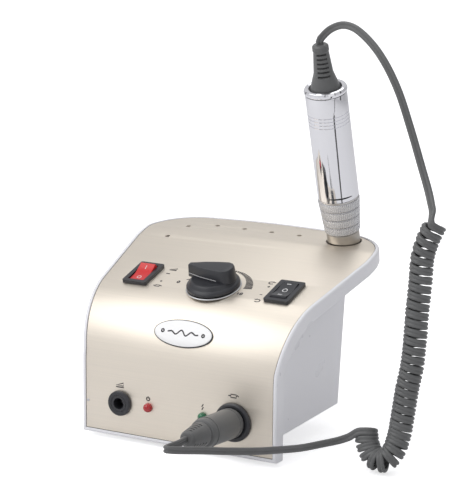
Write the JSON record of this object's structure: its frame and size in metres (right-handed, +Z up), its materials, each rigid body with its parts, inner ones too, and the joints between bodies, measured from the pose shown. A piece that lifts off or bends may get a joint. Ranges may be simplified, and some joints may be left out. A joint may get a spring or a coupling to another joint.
{
  "type": "electric nail drill",
  "caption": "Desktop electric nail drill: console with a bent metal faceplate, rocker switches, a speed knob, a handpiece standing in its well and a curly cord to a front socket.",
  "frame": {"origin": "middle of the console's footprint on the table, cord and plug left out", "axes": "+Z up, the faceplate's lower part faces -Y, +X to the viewer's right"},
  "size_m": [0.2247, 0.2041, 0.243],
  "materials": {
    "white_plastic": "smooth gloss moulding",
    "faceplate_metal": "champagne anodised, brushed across its width",
    "badge_enamel": "printed oval badge with a thin dark rim",
    "black_plastic": "semi-gloss moulding",
    "red_plastic": "glossy rocker",
    "red_lens": "translucent lamp lens",
    "green_lens": "translucent lamp lens",
    "black_matte_plastic": "matte moulding",
    "plated_steel": "nickel plated",
    "heat_sink_metal": "extruded",
    "chrome": "polished",
    "satin_steel": "satin, knurled bands on the grip",
    "grey_rubber": "satin grey cord jacket",
    "foot_rubber": "matte",
    "copper_winding": "enamelled copper wire",
    "board_laminate": "solder mask"
  },
  "bodies": {
    "console": {"front_bezel": "white_plastic", "rear_housing": "white_plastic", "base_tray": "white_plastic", "rear_cover": "white_plastic", "handpiece_well": "white_plastic", "faceplate": "faceplate_metal", "badge": "badge_enamel", "power_switch_frame": "black_plastic", "direction_switch_frame": "black_plastic", "foot_jack": "black_plastic", "foot_jack_nut": "black_plastic", "output_socket": "black_plastic", "led_on": "red_lens", "led_power": "green_lens", "bit_block": "black_matte_plastic", "mains_inlet": "black_matte_plastic", "fuse_holder": "black_matte_plastic", "fuse_cap": "black_matte_plastic", "filter_capacitor": "black_matte_plastic", "knob_ring": "plated_steel", "speed_pot_body": "plated_steel", "speed_pot_nut": "plated_steel", "output_socket_nut": "plated_steel", "housing_screw_1": "plated_steel", "housing_screw_2": "plated_steel", "housing_screw_3": "plated_steel", "housing_screw_4": "plated_steel", "transformer_core": "plated_steel", "heat_sink": "heat_sink_metal", "plug_pin": "chrome", "plug_shell": "grey_rubber", "plug_strain_relief": "grey_rubber", "cord_coil": "grey_rubber", "cord_lower_lead": "grey_rubber", "rubber_foot_1": "foot_rubber", "rubber_foot_2": "foot_rubber", "rubber_foot_3": "foot_rubber", "rubber_foot_4": "foot_rubber", "transformer_coil": "copper_winding", "control_board": "board_laminate"},
    "power_rocker": {"power_rocker": "red_plastic"},
    "direction_rocker": {"direction_rocker": "black_plastic"},
    "knob": {"speed_knob": "black_plastic", "speed_pot_shaft": "plated_steel"},
    "handpiece": {"handpiece_nose": "satin_steel", "handpiece_tube": "chrome", "handpiece_end_cap": "chrome", "handpiece_motor_can": "plated_steel", "handpiece_bearing_front": "plated_steel", "handpiece_bearing_rear": "plated_steel", "handpiece_strain_relief": "grey_rubber", "cord_upper_lead": "grey_rubber"},
    "twist_grip": {"handpiece_twist_grip": "satin_steel"},
    "spindle": {"handpiece_spindle": "plated_steel", "handpiece_rotor": "copper_winding"}
  },
  "joints": [
    {"name": "power_rocker_tilt", "type": "hinge", "parent": "console", "child": "power_rocker", "pos_m": [-0.0462, -0.02218, 0.08849], "axis": [1, 0, 0], "range_deg": [-24, 0]},
    {"name": "direction_rocker_tilt", "type": "hinge", "parent": "console", "child": "direction_rocker", "pos_m": [0.0474, -0.02179, 0.0886], "axis": [1, 0, 0], "range_deg": [-12, 12]},
    {"name": "speed_knob_turn", "type": "hinge", "parent": "console", "child": "knob", "pos_m": [0.003, -0.02566, 0.08909], "axis": [0, -0.2656, 0.9641], "range_deg": [-176, 0]},
    {"name": "handpiece_lift", "type": "slide", "parent": "console", "child": "handpiece", "axis": [0, -0.2689, 0.9632], "range_m": [0, 0.06], "deforming": ["cord_coil"]},
    {"name": "grip_twist", "type": "hinge", "parent": "handpiece", "child": "twist_grip", "pos_m": [0.05, 0.04826, 0.1069], "axis": [0, -0.2689, 0.9632], "range_deg": [0, 90]},
    {"name": "spindle_spin", "type": "hinge", "parent": "handpiece", "child": "spindle", "pos_m": [0.05, 0.04826, 0.1069], "axis": [0, -0.2689, 0.9632], "continuous": true}
  ]
}
